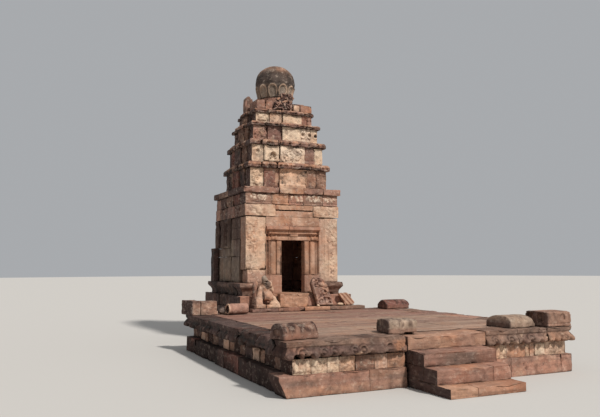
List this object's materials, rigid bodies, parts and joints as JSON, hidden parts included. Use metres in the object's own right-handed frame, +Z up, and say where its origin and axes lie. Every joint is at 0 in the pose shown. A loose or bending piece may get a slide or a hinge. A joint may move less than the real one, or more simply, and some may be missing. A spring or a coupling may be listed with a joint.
{
  "type": "hindu temple",
  "caption": "Small ruined stone shrine: a moulded platform with front steps, and a tower with a doorway, stepped roof tiers and a round dome.",
  "frame": {"origin": "on the ground at the centre of the footprint, between the foot of the steps and the back of the tower", "axes": "+Z up, the steps and the doorway face -Y, +X is to the right when facing the doorway"},
  "size_m": [5.51, 9.47, 7.0303],
  "materials": {
    "tan_sandstone": "weathered matt sandstone, tan",
    "pink_sandstone": "weathered matt sandstone, pinkish brown",
    "cream_sandstone": "weathered matt sandstone, pale cream",
    "brown_sandstone": "weathered matt sandstone, brown",
    "weathered_dark_stone": "sandstone blackened by lichen and rain"
  },
  "bodies": {
    "root": {"back_wall": "brown_sandstone", "beam_course": "tan_sandstone", "carved_stele": "tan_sandstone", "coping_stone_1": "tan_sandstone", "coping_stone_2": "tan_sandstone", "coping_stone_3": "tan_sandstone", "coping_stone_4": "cream_sandstone", "coping_stone_5": "pink_sandstone", "corner_block_1": "pink_sandstone", "corner_block_2": "tan_sandstone", "crown_fragment_carved": "cream_sandstone", "crown_fragment_left": "tan_sandstone", "crown_slab_right": "pink_sandstone", "dome": "weathered_dark_stone", "dome_base_slab": "pink_sandstone", "dome_neck": "pink_sandstone", "door_jamb_left": "cream_sandstone", "door_jamb_right": "tan_sandstone", "door_lintel": "tan_sandstone", "door_step_block": "cream_sandstone", "entablature": "tan_sandstone", "front_wall_left": "cream_sandstone", "front_wall_right": "tan_sandstone", "leaning_slab": "cream_sandstone", "left_wall": "weathered_dark_stone", "main_cornice_slab": "pink_sandstone", "platform_base_course": "pink_sandstone", "platform_core": "brown_sandstone", "platform_eave_front_left": "weathered_dark_stone", "platform_eave_front_right": "weathered_dark_stone", "platform_eave_left": "weathered_dark_stone", "platform_eave_right": "weathered_dark_stone", "platform_frieze": "tan_sandstone", "platform_paving": "pink_sandstone", "right_wall": "brown_sandstone", "seated_figure": "brown_sandstone", "shrine_floor": "brown_sandstone", "socketed_stone": "brown_sandstone", "step_1": "pink_sandstone", "step_2": "tan_sandstone", "step_3": "pink_sandstone", "tier_1_cornice": "weathered_dark_stone", "tier_1_wall": "pink_sandstone", "tier_2_cornice": "weathered_dark_stone", "tier_2_wall": "tan_sandstone", "tier_3_cornice": "weathered_dark_stone", "tier_3_wall": "pink_sandstone", "tier_4_cornice": "weathered_dark_stone", "tier_4_wall": "tan_sandstone", "top_step_stone": "tan_sandstone", "tower_base_course": "brown_sandstone", "tower_base_moulding": "brown_sandstone", "tower_kerb": "pink_sandstone", "tower_plinth": "brown_sandstone", "wall_over_door": "brown_sandstone"}
  },
  "joints": []
}
